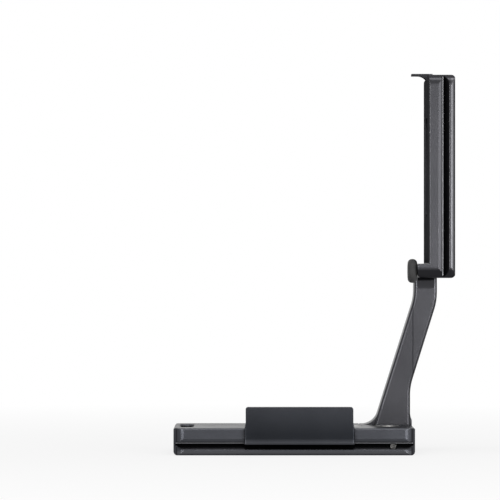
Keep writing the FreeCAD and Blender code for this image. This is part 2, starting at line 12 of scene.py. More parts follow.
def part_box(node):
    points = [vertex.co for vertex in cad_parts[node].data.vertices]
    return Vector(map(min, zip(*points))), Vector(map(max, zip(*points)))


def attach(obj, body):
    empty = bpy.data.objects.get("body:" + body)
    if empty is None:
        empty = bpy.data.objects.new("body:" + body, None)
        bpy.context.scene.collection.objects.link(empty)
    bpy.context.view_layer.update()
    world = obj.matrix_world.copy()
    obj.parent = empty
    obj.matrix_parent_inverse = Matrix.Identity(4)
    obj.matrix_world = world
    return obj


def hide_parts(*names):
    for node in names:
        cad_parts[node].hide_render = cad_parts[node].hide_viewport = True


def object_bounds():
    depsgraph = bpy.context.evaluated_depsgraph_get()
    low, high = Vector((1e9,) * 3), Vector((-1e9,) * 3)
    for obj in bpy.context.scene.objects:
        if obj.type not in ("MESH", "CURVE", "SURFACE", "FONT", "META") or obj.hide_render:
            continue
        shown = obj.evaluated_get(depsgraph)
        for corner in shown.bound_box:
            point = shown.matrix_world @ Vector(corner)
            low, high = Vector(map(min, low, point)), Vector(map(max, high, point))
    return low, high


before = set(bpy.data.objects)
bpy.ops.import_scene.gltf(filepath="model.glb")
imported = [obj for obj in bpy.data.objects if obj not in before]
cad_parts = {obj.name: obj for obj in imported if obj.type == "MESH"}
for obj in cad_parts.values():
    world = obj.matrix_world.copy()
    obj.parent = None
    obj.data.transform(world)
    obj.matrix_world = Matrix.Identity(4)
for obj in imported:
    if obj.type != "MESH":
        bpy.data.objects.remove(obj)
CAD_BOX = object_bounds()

log = logging.getLogger("mount_plate")

MM = 0.001
SAME_POINT = 1e-6
CUT_SLACK = 1e-7
HEX_SHARE = math.sqrt(3)
THREAD_DEPTH = 0.6134
CREST_EXCESS = 0.02 * MM
VALUE, VECTOR = "NodeSocketFloat", "NodeSocketVector"

Profile = list[tuple[float, float]]
Triple = tuple[float, float, float]
Colour = Triple
Piece = bpy.types.Object
Node = bpy.types.Node
Socket = bpy.types.NodeSocket
Sockets = bpy.types.bpy_prop_collection


class Facing(Enum):
    """Which way a piece that was turned upright points once it is in the plate."""

    UP = (0.0, 0.0, 1.0)
    DOWN = (0.0, 0.0, -1.0)
    RIGHT = (1.0, 0.0, 0.0)
    LEFT = (-1.0, 0.0, 0.0)
    FRONT = (0.0, -1.0, 0.0)
    REAR = (0.0, 1.0, 0.0)

    def turn(self) -> Matrix:
        """Matrix that turns +Z to this direction."""
        return Vector((0, 0, 1)).rotation_difference(Vector(self.value)).to_matrix().to_4x4()


class Bench:
    """Workshop operations that the pieces share: turning, threading, cutting, breaking edges, placing."""

    @staticmethod
    def release() -> None:
        """Leave edit mode and deselect everything."""
        if bpy.context.object is not None and bpy.context.object.mode != "OBJECT":
            bpy.ops.object.mode_set(mode="OBJECT")
        bpy.ops.object.select_all(action="DESELECT")

    @staticmethod
    def hold(piece: Piece) -> None:
        """Make a piece the only selected and active one."""
        Bench.release()
        piece.select_set(True)
        bpy.context.view_layer.objects.active = piece

    @staticmethod
    def edit_all(action: str = "SELECT", kind: str | None = None) -> None:
        """Enter edit mode and select all or nothing, by points or faces where a kind is given."""
        bpy.ops.object.mode_set(mode="EDIT")
        if kind is not None:
            bpy.ops.mesh.select_mode(type=kind)
        bpy.ops.mesh.select_all(action=action)

    @staticmethod
    def close_up() -> None:
        """Merge doubled points, point the faces outwards and leave edit mode."""
        Bench.edit_all()
        bpy.ops.mesh.remove_doubles(threshold=SAME_POINT)
        bpy.ops.mesh.normals_make_consistent(inside=False)
        bpy.ops.object.mode_set(mode="OBJECT")

    @staticmethod
    def draw_on(x: float, y: float, z: float) -> None:
        """Extrude what is selected by one step."""
        bpy.ops.mesh.extrude_region_move(TRANSFORM_OT_translate={"value": (x, y, z)})

    @staticmethod
    def modify(piece: Piece, kind: str, **settings) -> None:
        """Give a piece a modifier with these settings and apply it."""
        Bench.hold(piece)
        step = piece.modifiers.new(kind, kind)
        for name, value in settings.items():
            setattr(step, name, value)
        bpy.ops.object.modifier_apply(modifier=step.name)

    @staticmethod
    def carry(piece: Piece, matrix: Matrix) -> None:
        """Move a piece by a matrix and leave its object at the origin."""
        Bench.hold(piece)
        piece.matrix_world = matrix
        bpy.ops.object.transform_apply()

    @staticmethod
    def set_in(piece: Piece, facing: Facing, place: Vector) -> None:
        """Turn an upright piece to its direction and carry it to its place."""
        Bench.carry(piece, Matrix.Translation(place) @ facing.turn())

    @staticmethod
    def joined(name: str, bodies: list[Piece]) -> Piece:
        """Join the bodies of one CAD node into one named piece."""
        Bench.hold(bodies[0])
        for body in bodies:
            body.select_set(True)
        bpy.ops.object.join()
        bodies[0].name = name
        return bodies[0]

    @staticmethod
    def drawn_line(name: str, profile: Profile) -> Piece:
        """Draw a chain of edges in the XZ plane by extruding one point.

        Args:
            name: The object's name.
            profile: (radius, height) of each corner, in metres.

        Returns:
            The new object, in edit mode with all of it selected.
        """
        Bench.release()
        bpy.ops.mesh.primitive_plane_add(size=MM, location=(0, 0, 0))
        piece = bpy.context.active_object
        piece.name = name
        Bench.edit_all(kind="VERT")
        bpy.ops.mesh.merge(type="CENTER")
        bpy.ops.transform.translate(value=(profile[0][0], 0, profile[0][1]))
        for (radius, height), (next_radius, next_height) in zip(profile, profile[1:]):
            Bench.draw_on(next_radius - radius, 0, next_height - height)
        bpy.ops.mesh.select_all(action="SELECT")
        return piece

    @staticmethod
    def turned(name: str, profile: Profile, steps: int = 72) -> Piece:
        """Turn a profile about the Z axis, as on a lathe.

        Args:
            name: The object's name.
            profile: (radius, height) corners from the axis round to the axis, or a closed ring.
            steps: How many steps the turn has.

        Returns:
            The closed body, upright at the origin.
        """
        piece = Bench.drawn_line(name, profile)
        bpy.ops.mesh.spin(steps=steps, angle=math.tau, center=(0, 0, 0), axis=(0, 0, 1))
        Bench.close_up()
        return piece

    @staticmethod
    def threaded_rod(name: str, radius: float, pitch: float, bottom: float, top: float) -> Piece:
        """Cut a 60 degree thread on a rod by screwing one groove's profile upwards.

        Args:
            name: The object's name.
            radius: Radius over the thread's crests.
            pitch: Rise of one turn.
            bottom: Height of the flat lower end.
            top: Height of the flat upper end.

        Returns:
            The closed threaded rod, upright about the Z axis.
        """
        root = radius - THREAD_DEPTH * pitch
        start = bottom - 1.2 * pitch
        shares = ((root, 0.0), (root, 0.0835), (radius, 0.4375), (radius, 0.5625), (root, 0.9165), (root, 1.0))
        rod = Bench.drawn_line(name, [(reach, start + share * pitch) for reach, share in shares])
        Bench.modify(rod, "SCREW", axis="Z", angle=math.tau, steps=40, render_steps=40, screw_offset=pitch,
                     iterations=math.ceil((top - bottom) / pitch + 2.4))
        Bench.edit_all()
        bpy.ops.mesh.remove_doubles(threshold=SAME_POINT)
        for height, lower in ((bottom, True), (top, False)):
            bpy.ops.mesh.select_all(action="SELECT")
            bpy.ops.mesh.bisect(plane_co=(0, 0, height), plane_no=(0, 0, 1), use_fill=True, clear_inner=lower,
                                clear_outer=not lower, threshold=CUT_SLACK)
        Bench.close_up()
        return rod

    @staticmethod
    def combine(piece: Piece, tool: Piece, how: str) -> None:
        """Cut, join or intersect a piece with a tool body, which is then thrown away.

        Args:
            piece: The body that stays.
            tool: The body that is used up.
            how: DIFFERENCE, UNION or INTERSECT.
        """
        Bench.modify(piece, "BOOLEAN", operation=how, solver="EXACT", object=tool)
        bpy.data.objects.remove(tool)
        Bench.edit_all()
        bpy.ops.mesh.dissolve_degenerate(threshold=SAME_POINT)
        Bench.close_up()
        Bench.drop_idle_points(piece)

    @staticmethod
    def drop_idle_points(piece: Piece) -> None:
        """Dissolve the points that only split an edge in two, which a boolean leaves behind."""
        Bench.edit_all("DESELECT", "VERT")
        bpy.ops.object.mode_set(mode="OBJECT")
        edges = Counter(point for edge in piece.data.edges for point in edge.vertices)
        for number, point in enumerate(piece.data.vertices):
            point.select = edges[number] == 2
        bpy.ops.object.mode_set(mode="EDIT")
        bpy.ops.mesh.dissolve_verts()
        bpy.ops.object.mode_set(mode="OBJECT")

    @staticmethod
    def break_edges(piece: Piece, width: float, segments: int = 2, angle: float = 30.0) -> None:
        """Bevel every edge sharper than an angle.

        Args:
            piece: The body.
            width: Width of the bevel, in metres.
            segments: Steps across the bevel.
            angle: Smallest angle between faces that is bevelled, in degrees.
        """
        Bench.modify(piece, "BEVEL", width=width, segments=segments, limit_method="ANGLE",
                     angle_limit=math.radians(angle), harden_normals=False)
        Bench.close_up()

    @staticmethod
    def cut_socket(piece: Piece, size: float, mouth: float, depth: float, drilled: bool = True) -> None:
        """Broach a hexagonal socket into a face, from above.

        Args:
            piece: The upright screw.
            size: Size across the socket's flats.
            mouth: Height of the face.
            depth: Depth of the socket.
            drilled: Whether a drill's cone is left below it.
        """
        Bench.release()
        bpy.ops.mesh.primitive_circle_add(vertices=6, radius=size / HEX_SHARE, fill_type="NGON",
                                          location=(0, 0, mouth - depth))
        broach = bpy.context.active_object
        Bench.edit_all()
        bpy.ops.transform.rotate(value=math.radians(30), orient_axis="Z", center_override=(0, 0, 0))
        Bench.draw_on(0, 0, depth + MM)
        if drilled:
            Bench.edit_all("DESELECT", "FACE")
            bpy.ops.object.mode_set(mode="OBJECT")
            for face in broach.data.polygons:
                face.select = face.center.z < 0.01 * MM
            bpy.ops.object.mode_set(mode="EDIT")
            inset, cone_depth = 0.12 * size, 0.22 * size
            bpy.ops.mesh.inset(thickness=inset, depth=0)
            Bench.draw_on(0, 0, -cone_depth)
            bpy.ops.mesh.merge(type="CENTER")
        Bench.close_up()
        Bench.combine(piece, broach, "DIFFERENCE")


class Tree:
    """Short calls that add and join the nodes of one shader tree."""

    def __init__(self, tree: bpy.types.NodeTree) -> None:
        """Hold the tree."""
        self.tree = tree

    def feed(self, node: Node, sockets: dict) -> Node:
        """Set a node's inputs, by name or number, to values, or join them to output sockets."""
        for name, value in sockets.items():
            if isinstance(value, Socket):
                self.tree.links.new(value, node.inputs[name])
            else:
                node.inputs[name].default_value = value
        return node

    def add(self, kind: str, sockets: dict | None = None, **settings) -> Node:
        """Add a node.

        Args:
            kind: The node's type name without its ShaderNode prefix.
            sockets: Input name or number to a value, or to an output socket to join.
            **settings: Properties of the node.

        Returns:
            The node.
        """
        node = self.tree.nodes.new("ShaderNode" + kind)
        for name, value in settings.items():
            setattr(node, name, value)
        return self.feed(node, sockets or {})

    def maths(self, operation: str, first, second=0.0, third=0.0, clamp: bool = False) -> Socket:
        """Add a Math node and return its output."""
        return self.add("Math", {0: first, 1: second, 2: third}, operation=operation, use_clamp=clamp).outputs[0]

    def times(self, product, *factors, clamp: bool = False) -> Socket:
        """Multiply values, clamped where that is asked, and return the output."""
        for factor in factors:
            product = self.maths("MULTIPLY", product, factor, clamp=clamp)
        return product

    def spread(self, value, low: float, high: float, to_low=0.0, to_high=1.0) -> Socket:
        """Map a value from one range to another, clamped, and return the output."""
        sockets = {"Value": value, "From Min": low, "From Max": high, "To Min": to_low, "To Max": to_high}
        return self.add("MapRange", sockets).outputs[0]

    def fade(self, value, low: float, high: float) -> Socket:
        """Mask that is 1 up to a value and 0 from a higher one on."""
        return self.spread(value, low, high, 1.0, 0.0)

    def mixed(self, factor, first, second) -> Socket:
        """Mix two colours and return the output."""
        first, second = ((*colour, 1.0) if isinstance(colour, tuple) else colour for colour in (first, second))
        return self.add("Mix", {0: factor, 6: first, 7: second}, data_type="RGBA").outputs[2]

    def noise(self, place, scale: float, detail: float = 3.0, roughness: float = 0.5) -> Socket:
        """Add a noise on coordinates and return its value."""
        sockets = {"Vector": place, "Scale": scale, "Detail": detail, "Roughness": roughness}
        return self.add("TexNoise", sockets).outputs["Fac"]

    def here(self) -> Socket:
        """Add the coordinates of the shaded point."""
        return self.add("TexCoord").outputs["Object"]

    def parts(self, vector: Socket) -> Sockets:
        """Split a vector and return the outputs X, Y and Z."""
        return self.add("SeparateXYZ", {0: vector}).outputs

    def dot(self, first, second) -> Socket:
        """Add the dot product of two vectors."""
        return self.add("VectorMath", {0: first, 1: second}, operation="DOT_PRODUCT").outputs["Value"]

    def off_axis(self, parts: Sockets) -> Socket:
        """Add the distance of a split place from the Z axis."""
        square = self.maths("MULTIPLY_ADD", parts["X"], parts["X"], self.times(parts["Y"], parts["Y"]))
        return self.maths("SQRT", square)

    def seen(self) -> Socket:
        """Mask that is 1 for what the camera sees, straight, mirrored or through glass."""
        path = self.add("LightPath").outputs
        seen = self.maths("ADD", path["Is Camera Ray"], path["Is Glossy Ray"])
        return self.maths("ADD", seen, path["Is Transmission Ray"], clamp=True)

    def surface(self, shader: Node, colour, gloss, bump: dict) -> None:
        """Join a finish's colour, gloss and bump to its shader."""
        self.feed(shader, {"Base Color": colour, "Roughness": gloss, "Normal": self.add("Bump", bump).outputs[0]})


class Effects:
    """Shader node groups that several finishes place with their own values."""

    @staticmethod
    def group(name: str, inputs: dict[str, float | None], outputs: dict[str, str]) -> tuple[Tree, Sockets, Node]:
        """Start a node group.

        Args:
            name: The group's name, which is its method's name.
            inputs: Name and usual value of each input, or None for a vector.
            outputs: Name and socket type of each output.

        Returns:
            The tree, the sockets that its inputs give, and its output node.
        """
        tree = bpy.data.node_groups.new(name, "ShaderNodeTree")
        for label, usual in inputs.items():
            kind = VECTOR if usual is None else VALUE
            socket = tree.interface.new_socket(name=label, in_out="INPUT", socket_type=kind)
            if usual is not None:
                socket.default_value = usual
        for label, kind in outputs.items():
            tree.interface.new_socket(name=label, in_out="OUTPUT", socket_type=kind)
        entry = tree.nodes.new("NodeGroupInput")
        return Tree(tree), entry.outputs, tree.nodes.new("NodeGroupOutput")

    @staticmethod
    def edge_wear_and_recess_shade() -> bpy.types.NodeTree:
        """Mask of the rubbed outer edges, mask of painted shade in the recesses, and the normal that rounds the
        edges.
        """
        nodes, given, leave = Effects.group(
            "edge_wear_and_recess_shade", {"Width": 0.3 * MM, "Amount": 1.0, "Patch Scale": 300.0},
            {"Mask": VALUE, "Recess Shade": VALUE, "Normal": VECTOR})
        rounded = nodes.add("Bevel", {"Radius": given["Width"]}, samples=6).outputs[0]
        cosine = nodes.dot(rounded, nodes.add("NewGeometry").outputs["Normal"])
        turn = nodes.spread(cosine, 0.999, 0.90)
        patches = nodes.spread(nodes.noise(nodes.here(), given["Patch Scale"], 4.0, 0.6), 0.36, 0.62, 0.60)
        near, wide = (nodes.add("AmbientOcclusion", {"Distance": reach}, samples=6, only_local=True).outputs["AO"]
                      for reach in (1.5 * MM, 4.0 * MM))
        mask = nodes.times(turn, patches, nodes.spread(near, 0.55, 0.9), given["Amount"], clamp=True)
        # The recess output is painted shade, darkest where the surface is most hemmed in.
        nodes.feed(leave, {"Mask": mask, "Recess Shade": nodes.fade(wide, 0.25, 0.70), "Normal": rounded})
        return nodes.tree

    @staticmethod
    def blasted_grain() -> bpy.types.NodeTree:
        """Fine grain of a bead-blasted face: its tone, its clouds and its height."""
        nodes, given, leave = Effects.group(
            "blasted_grain", {"Grain Scale": 5200.0, "Cloud Scale": 55.0},
            {"Tone": VALUE, "Cloud": VALUE, "Height": VALUE})
        place = nodes.here()
        grain = nodes.noise(place, given["Grain Scale"], 2.0, 0.55)
        cloud = nodes.noise(place, given["Cloud Scale"], 4.0, 0.55)
        nodes.feed(leave, {"Tone": nodes.spread(grain, 0.25, 0.75), "Cloud": nodes.spread(cloud, 0.3, 0.7),
                           "Height": grain})
        return nodes.tree

    @staticmethod
    def turning_marks() -> bpy.types.NodeTree:
        """Fine rings that a lathe leaves round an axis: their tone and height."""
        nodes, given, leave = Effects.group(
            "turning_marks", {"Ring Scale": 9000.0, "Waver": 0.04 * MM, "Place": None},
            {"Tone": VALUE, "Height": VALUE})
        parts = nodes.parts(given["Place"])
        along = nodes.maths("ADD", nodes.off_axis(parts), nodes.times(parts["Z"], 0.37))
        drift = nodes.noise(given["Place"], 700.0, 2.0)
        along = nodes.maths("MULTIPLY_ADD", drift, given["Waver"], along)
        line = nodes.add("CombineXYZ", {0: nodes.times(along, given["Ring Scale"])}).outputs[0]
        rings = nodes.noise(line, 1.0, 3.0, 0.6)
        nodes.feed(leave, {"Tone": nodes.spread(rings, 0.3, 0.7), "Height": rings})
        return nodes.tree

    @staticmethod
    def place(nodes: Tree, effect: Callable[[], bpy.types.NodeTree], sockets: dict) -> Sockets:
        """Place an effect, built on its first use, with a material's own values, and return its outputs."""
        group = bpy.data.node_groups.get(effect.__name__) or effect()
        return nodes.add("Group", sockets, node_tree=group).outputs


def new_material(name: str) -> tuple[bpy.types.Material, Tree, Node]:
    """Start a material.

    Args:
        name: The material's name.

    Returns:
        The material, its tree and its Principled BSDF.
    """
    material = bpy.data.materials.new(name)
    material.use_nodes = True
    return material, Tree(material.node_tree), material.node_tree.nodes["Principled BSDF"]


@dataclass(frozen=True)
class Dovetail:
    """Where a plate's clamp dovetail lies, whose chamfers and jaws get painted shade, and whose land gets clamp rub
    and a painted highlight.
    """

    inward: Triple
    outer_face: float
    half: float = 19.0 * MM
    lip: float = 2.05 * MM
    shoulder: float = 4.25 * MM
    land: float = 0.40 * MM
    step: float = 0.30 * MM
    recess: float = 1.6 * MM
    corner: float = 3.9 * MM
    border: float = 0.05 * MM
    # Strengths of the clamp rub and painted highlight on the land and on the lip's round.
    land_rub: float = 0.35
    bow_rub: float = 0.18

    def places(self, nodes: Tree) -> tuple[Socket, Socket]:
        """Distance from the plate's outer face, and from its middle line."""
        place = nodes.here()
        height = nodes.maths("SUBTRACT", nodes.dot(place, self.inward), self.outer_face)
        return height, nodes.maths("ABSOLUTE", nodes.parts(place)["Y"])

    def band(self, nodes: Tree, value: Socket, low: float, high: float) -> Socket:
        """Mask that is 1 between two values, with a soft border."""
        return nodes.times(nodes.spread(value, low - self.border, low), nodes.fade(value, high, high + self.border))

    def rub_mask(self, nodes: Tree) -> Socket:
        """Mask of clamp rub and painted highlight: the narrow land under the shoulder, and less the lip's round."""
        height, across = self.places(nodes)
        land = nodes.times(self.band(nodes, height, self.shoulder + 0.13 * MM, self.shoulder + self.land),
                           self.band(nodes, across, self.half - self.recess, self.half))
        bow = nodes.times(self.band(nodes, height, 0.7 * MM, 1.5 * MM),
                          self.band(nodes, across, self.half - MM, self.half + 0.05 * MM))
        return nodes.maths("MULTIPLY_ADD", bow, self.bow_rub, nodes.times(land, self.land_rub))

    def cut_mask(self, nodes: Tree) -> Socket:
        """Mask of painted shade on the jaws, the step over the land, the corners and the downward-facing outer
        rounds.
        """
        height, across = self.places(nodes)
        off_jaw = nodes.maths("SUBTRACT", nodes.maths("ADD", across, height), self.half + self.lip)
        jaw = nodes.times(nodes.fade(nodes.maths("ABSOLUTE", off_jaw), 0.10 * MM, 0.25 * MM),
                          nodes.spread(height, self.lip, self.lip + 0.10 * MM))
        foot = self.shoulder + self.land
        step = nodes.times(self.band(nodes, height, foot, foot + self.step),
                           self.band(nodes, across, self.half - self.recess, self.half))
        turned = nodes.add("TexCoord").outputs["Normal"]
        slope = nodes.parts(nodes.add("VectorMath", {0: turned}, operation="ABSOLUTE").outputs[0])
        along_axis = nodes.maths("MAXIMUM", nodes.maths("MAXIMUM", slope["X"], slope["Y"]), slope["Z"])
        inwards = nodes.dot(turned, self.inward)
        rise = nodes.parts(turned)["Z"]
        facet = nodes.times(nodes.fade(along_axis, 0.73, 0.80), nodes.fade(inwards, 0.2, 0.4),
                            nodes.fade(rise, 0.2, 0.4))
        lowered = nodes.times(nodes.fade(rise, -0.30, -0.10), nodes.fade(along_axis, 0.97, 0.995),
                              nodes.fade(nodes.maths("ABSOLUTE", inwards), 0.05, 0.20))
        inner = self.half - self.corner - 0.3 * MM
        facet = nodes.times(nodes.maths("MAXIMUM", facet, lowered), nodes.spread(across, inner - 0.3 * MM, inner),
                            nodes.fade(across, self.half, self.half + 0.1 * MM))
        return nodes.maths("MAXIMUM", nodes.maths("MAXIMUM", jaw, step), nodes.times(facet, 0.9))


@dataclass(frozen=True)
class Anodising:
    """Bead-blasted aluminium, anodised black, rubbed paler along its outer edges, with painted shade in its
    recesses, jaws and facets and on its front face where asked, and a painted highlight on its dovetail lands.
    """

    name: str
    dovetail: Dovetail
    colour: Colour = (0.039, 0.039, 0.043)
    pale: Colour = (0.052, 0.052, 0.057)
    # rubbed: paler colour of worn edges, also a painted highlight on the dovetail lands and lip rounds.
    rubbed: Colour = (0.28, 0.28, 0.29)
    # shaded: painted shade colour that the recesses are darkened to.
    shaded: Colour = (0.008, 0.008, 0.009)
    # cut: painted shade colour of the jaws, step, corner facets and downward rounds.
    cut: Colour = (0.018, 0.018, 0.020)
    # deep: painted shade colour of the foremost face.
    deep: Colour = (0.012, 0.0133, 0.016)
    matt: Colour = (0.036, 0.036, 0.039)
    grazing: Colour = (0.50, 0.50, 0.50)
    roughness: float = 0.22
    metallic: float = 0.90
    edge: float = 0.20 * MM
    rub: float = 0.8
    deep_front: float | None = None
    matt_inner: tuple[float, float] | None = None

    def front_mask(self, nodes: Tree) -> Socket:
        """Mask of painted shade on the foremost face, stronger lower down and strongest above its rubbed lower
        edge.
        """
        parts = nodes.parts(nodes.here())
        return nodes.times(nodes.fade(parts["Y"], self.deep_front, self.deep_front + 0.9 * MM),
                           nodes.spread(parts["Z"], -2.0 * MM, 7.0 * MM, 0.89, 0.50),
                           nodes.spread(parts["Z"], -5.2 * MM, -3.6 * MM))

    def inner_mask(self, nodes: Tree) -> Socket:
        """Mask of the upright plate's inner face, which no clamp polishes."""
        reach, foot = self.matt_inner
        parts = nodes.parts(nodes.here())
        return nodes.times(nodes.fade(parts["X"], reach + 0.05 * MM, reach + 0.3 * MM),
                           nodes.spread(parts["Z"], foot, foot + 0.5 * MM))

    def material(self) -> bpy.types.Material:
        """Build the finish."""
        material, nodes, shader = new_material(self.name)
        nodes.feed(shader, {"Metallic": self.metallic, "Specular IOR Level": 0.0,
                            "Specular Tint": (*self.grazing, 1.0)})
        grain = Effects.place(nodes, Effects.blasted_grain, {})
        wear_and_shade = Effects.place(nodes, Effects.edge_wear_and_recess_shade, {"Width": self.edge, "Patch Scale": 260.0})
        tone = nodes.maths("MULTIPLY_ADD", grain["Tone"], 0.55, nodes.times(grain["Cloud"], 0.45))
        colour = nodes.mixed(tone, self.colour, self.pale)
        if self.deep_front is not None:
            # Painted shade on the foremost face, darker towards the bottom.
            colour = nodes.mixed(self.front_mask(nodes), colour, self.deep)
        # Painted shade: the recesses darken towards the shaded colour.
        colour = nodes.mixed(wear_and_shade["Recess Shade"], colour, self.shaded)
        # Worn edges, plus clamp rub with a painted highlight on the land and the lip's round.
        worn_and_highlit = nodes.maths("ADD", self.dovetail.rub_mask(nodes), wear_and_shade["Mask"], clamp=True)
        colour = nodes.mixed(nodes.times(worn_and_highlit, self.rub), colour, self.rubbed)
        # Painted shade on the jaws, step, corner facets and downward rounds.
        colour = nodes.mixed(self.dovetail.cut_mask(nodes), colour, self.cut)
        gloss = nodes.spread(grain["Cloud"], 0.0, 1.0, self.roughness - 0.02, self.roughness + 0.04)
        gloss = nodes.maths("MULTIPLY_ADD", wear_and_shade["Mask"], 0.08, gloss)
        if self.matt_inner is not None:
            inner = self.inner_mask(nodes)
            colour = nodes.mixed(inner, colour, self.matt)
            gloss = nodes.maths("MULTIPLY_ADD", inner, 0.40, gloss)
            nodes.feed(shader, {"Metallic": nodes.spread(inner, 0.0, 1.0, self.metallic, 0.0)})
        nodes.surface(shader, colour, gloss, {"Strength": 0.10, "Distance": 0.03 * MM,
                                              "Height": grain["Height"], "Normal": wear_and_shade["Normal"]})
        return material


@dataclass(frozen=True)
class TurnedSteel:
    """Steel turned on a lathe, with fine rings round the piece's axis and brighter edges."""

    name: str
    colour: Colour
    dark: Colour
    bright: Colour
    roughness: float = 0.28
    metallic: float = 1.0
    ring_scale: float = 9000.0

    def material(self, centre: Vector, facing: Facing = Facing.UP) -> bpy.types.Material:
        """Build the finish about one piece's axis.

        Args:
            centre: A point on the piece's axis.
            facing: The axis's direction.

        Returns:
            The material.
        """
        material, nodes, shader = new_material(self.name)
        shader.inputs["Metallic"].default_value = self.metallic
        place = nodes.here()
        turn = facing.turn().inverted()
        mapping = nodes.add("Mapping", {"Vector": place, "Rotation": turn.to_euler(),
                                        "Location": -(turn @ centre)}, vector_type="POINT")
        rings = Effects.place(nodes, Effects.turning_marks,
                              {"Ring Scale": self.ring_scale, "Place": mapping.outputs[0]})
        wear_and_shade = Effects.place(nodes, Effects.edge_wear_and_recess_shade, {"Width": 0.12 * MM, "Amount": 0.9, "Patch Scale": 500.0})
        stain = nodes.spread(nodes.noise(place, 420.0, 4.0, 0.6), 0.35, 0.7)
        tone = nodes.maths("MULTIPLY_ADD", rings["Tone"], 0.45, nodes.times(stain, 0.55))
        colour = nodes.mixed(tone, self.colour, self.dark)
        colour = nodes.mixed(wear_and_shade["Mask"], colour, self.bright)
        gloss = nodes.spread(tone, 0.0, 1.0, self.roughness - 0.05, self.roughness + 0.10)
        nodes.surface(shader, colour, gloss, {"Strength": 0.12, "Distance": 0.02 * MM,
                                              "Height": rings["Height"], "Normal": wear_and_shade["Normal"]})
        return material


@dataclass(frozen=True)
class MouldedRubber:
    """Matt black rubber with a fine moulded grain and a little dust."""

    name: str
    colour: Colour = (0.012, 0.012, 0.013)
    dust: Colour = (0.035, 0.034, 0.033)

    def material(self) -> bpy.types.Material:
        """Build the finish."""
        material, nodes, shader = new_material(self.name)
        grain = Effects.place(nodes, Effects.blasted_grain, {"Grain Scale": 3200.0, "Cloud Scale": 240.0})
        colour = nodes.mixed(nodes.times(grain["Cloud"], 0.6), self.colour, self.dust)
        gloss = nodes.spread(grain["Tone"], 0.0, 1.0, 0.62, 0.82)
        nodes.surface(shader, colour, gloss, {"Strength": 0.35, "Distance": 0.05 * MM, "Height": grain["Height"]})
        return material


STAINLESS = {"colour": (0.56, 0.55, 0.53), "dark": (0.40, 0.39, 0.37), "bright": (0.72, 0.71, 0.69)}
BLACK_OXIDE = {"colour": (0.045, 0.045, 0.046), "dark": (0.025, 0.025, 0.026), "bright": (0.20, 0.20, 0.20)}
PHOSPHATED = {"colour": (0.16, 0.155, 0.15), "dark": (0.09, 0.088, 0.085), "bright": (0.34, 0.33, 0.32)}
TOOL_STEEL = {"colour": (0.075, 0.074, 0.072), "dark": (0.04, 0.04, 0.04), "bright": (0.26, 0.25, 0.24)}
NICKEL = {"colour": (0.66, 0.64, 0.60), "dark": (0.54, 0.52, 0.48), "bright": (0.80, 0.78, 0.74)}


def fit(piece: Piece, finish: bpy.types.Material, body: str, slot: str, *nodes: str, angle: float = 32.0) -> None:
    """Shade and dress a finished piece, let it ride on its body in place of CAD nodes, and report it.

    Args:
        piece: The finished piece.
        finish: Its material.
        body: The CAD body that carries it.
        slot: The record's material slot; not used.
        *nodes: The CAD nodes that it stands for.
        angle: Edges sharper than this many degrees stay sharp.
    """
    Bench.hold(piece)
    bpy.ops.object.shade_smooth_by_angle(angle=math.radians(angle))
    piece.data.materials.clear()
    piece.data.materials.append(finish)
    Bench.release()
    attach(piece, body)
    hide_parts(*nodes)
    log.info("%s: %d faces on %s", piece.name, len(piece.data.polygons), body)


def middle(node: str) -> Vector:
    """Centre of a CAD node's box."""
    low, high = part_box(node)
    return (low + high) / 2


@dataclass
class Plates:
    """The two machined plates, which keep their CAD shapes."""

    base: str = "base_plate"
    side: str = "side_component"
    side_inner: float = 57.4 * MM
    foot_top: float = 59.0 * MM

    def dress(self) -> None:
        """Give both plates their anodised finish."""
        base_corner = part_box(self.base)[0]
        base_dovetail = Dovetail((0.0, 0.0, 1.0), base_corner.z)
        side_dovetail = Dovetail((-1.0, 0.0, 0.0), -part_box(self.side)[1].x)
        base_finish = Anodising("base_anodised", base_dovetail, colour=(0.042, 0.044, 0.050),
                                pale=(0.056, 0.058, 0.066), rub=0.7, deep_front=base_corner.y + 0.1 * MM)
        side_finish = Anodising("side_anodised", side_dovetail, matt_inner=(self.side_inner, self.foot_top))
        for node, dye in ((self.base, base_finish), (self.side, side_finish)):
            finish = dye.material()
            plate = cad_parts[node]
            for place in plate.material_slots:
                place.material = finish
            log.info("%s: kept, %d faces", node, len(plate.data.polygons))


